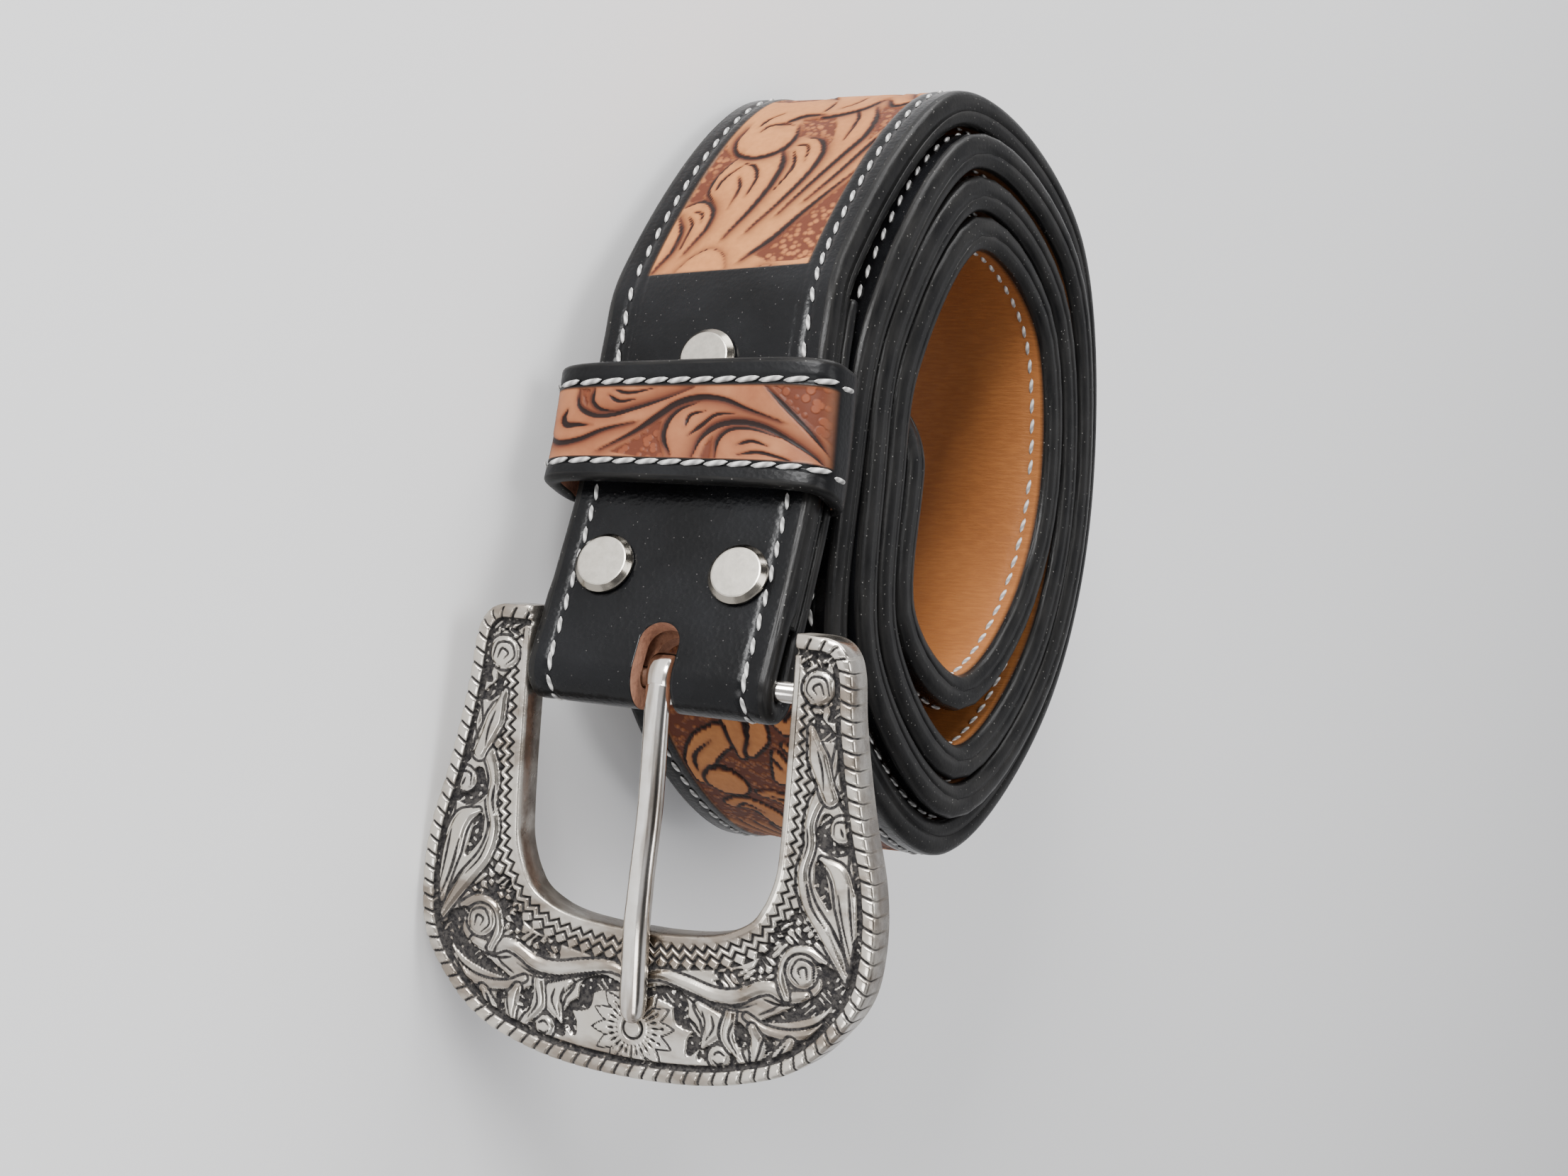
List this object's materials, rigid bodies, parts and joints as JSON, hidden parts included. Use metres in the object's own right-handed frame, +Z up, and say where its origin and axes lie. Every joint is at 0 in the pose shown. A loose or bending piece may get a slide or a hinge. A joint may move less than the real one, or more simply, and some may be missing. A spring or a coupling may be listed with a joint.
{
  "type": "western tooled belt",
  "caption": "Wide leather belt coiled up, with a tooled, stitched face, smooth lining, screwed keeper loop and a flared prong buckle.",
  "frame": {"origin": "middle of the footprint, on the floor the coil lies on", "axes": "+Z up, across the strap; +X from the coil towards the buckle's end; -Y the side with the buckle's face"},
  "size_m": [0.1482, 0.1272, 0.0712],
  "materials": {
    "carved_leather": "dyed black with a tan carved panel, satin",
    "lining_leather": "smooth caramel, satin",
    "keeper_leather": "antiqued tan with black borders",
    "screw_metal": "brushed",
    "antique_silver": "antiqued silver plate",
    "polished_nickel": "polished"
  },
  "bodies": {
    "belt": {"strap": "carved_leather", "strap_fold_left": "carved_leather", "strap_fold_right": "carved_leather", "strap_turned_end": "carved_leather", "strap_lining": "lining_leather", "keeper_loop": "keeper_leather", "screw_top": "screw_metal", "screw_left": "screw_metal", "screw_right": "screw_metal"},
    "buckle": {"buckle_frame": "antique_silver", "buckle_bar": "polished_nickel"},
    "prong": {"prong": "polished_nickel"}
  },
  "joints": [
    {"name": "buckle_swing", "type": "hinge", "parent": "belt", "child": "buckle", "pos_m": [0.0176, -0.0545, 0.0345], "axis": [-0.0319, 0.1549, 0.9874], "range_deg": [-60, 20]},
    {"name": "prong_swing", "type": "hinge", "parent": "buckle", "child": "prong", "pos_m": [0.0176, -0.0545, 0.0345], "axis": [-0.0319, 0.1549, 0.9874], "range_deg": [-50, 0]}
  ]
}
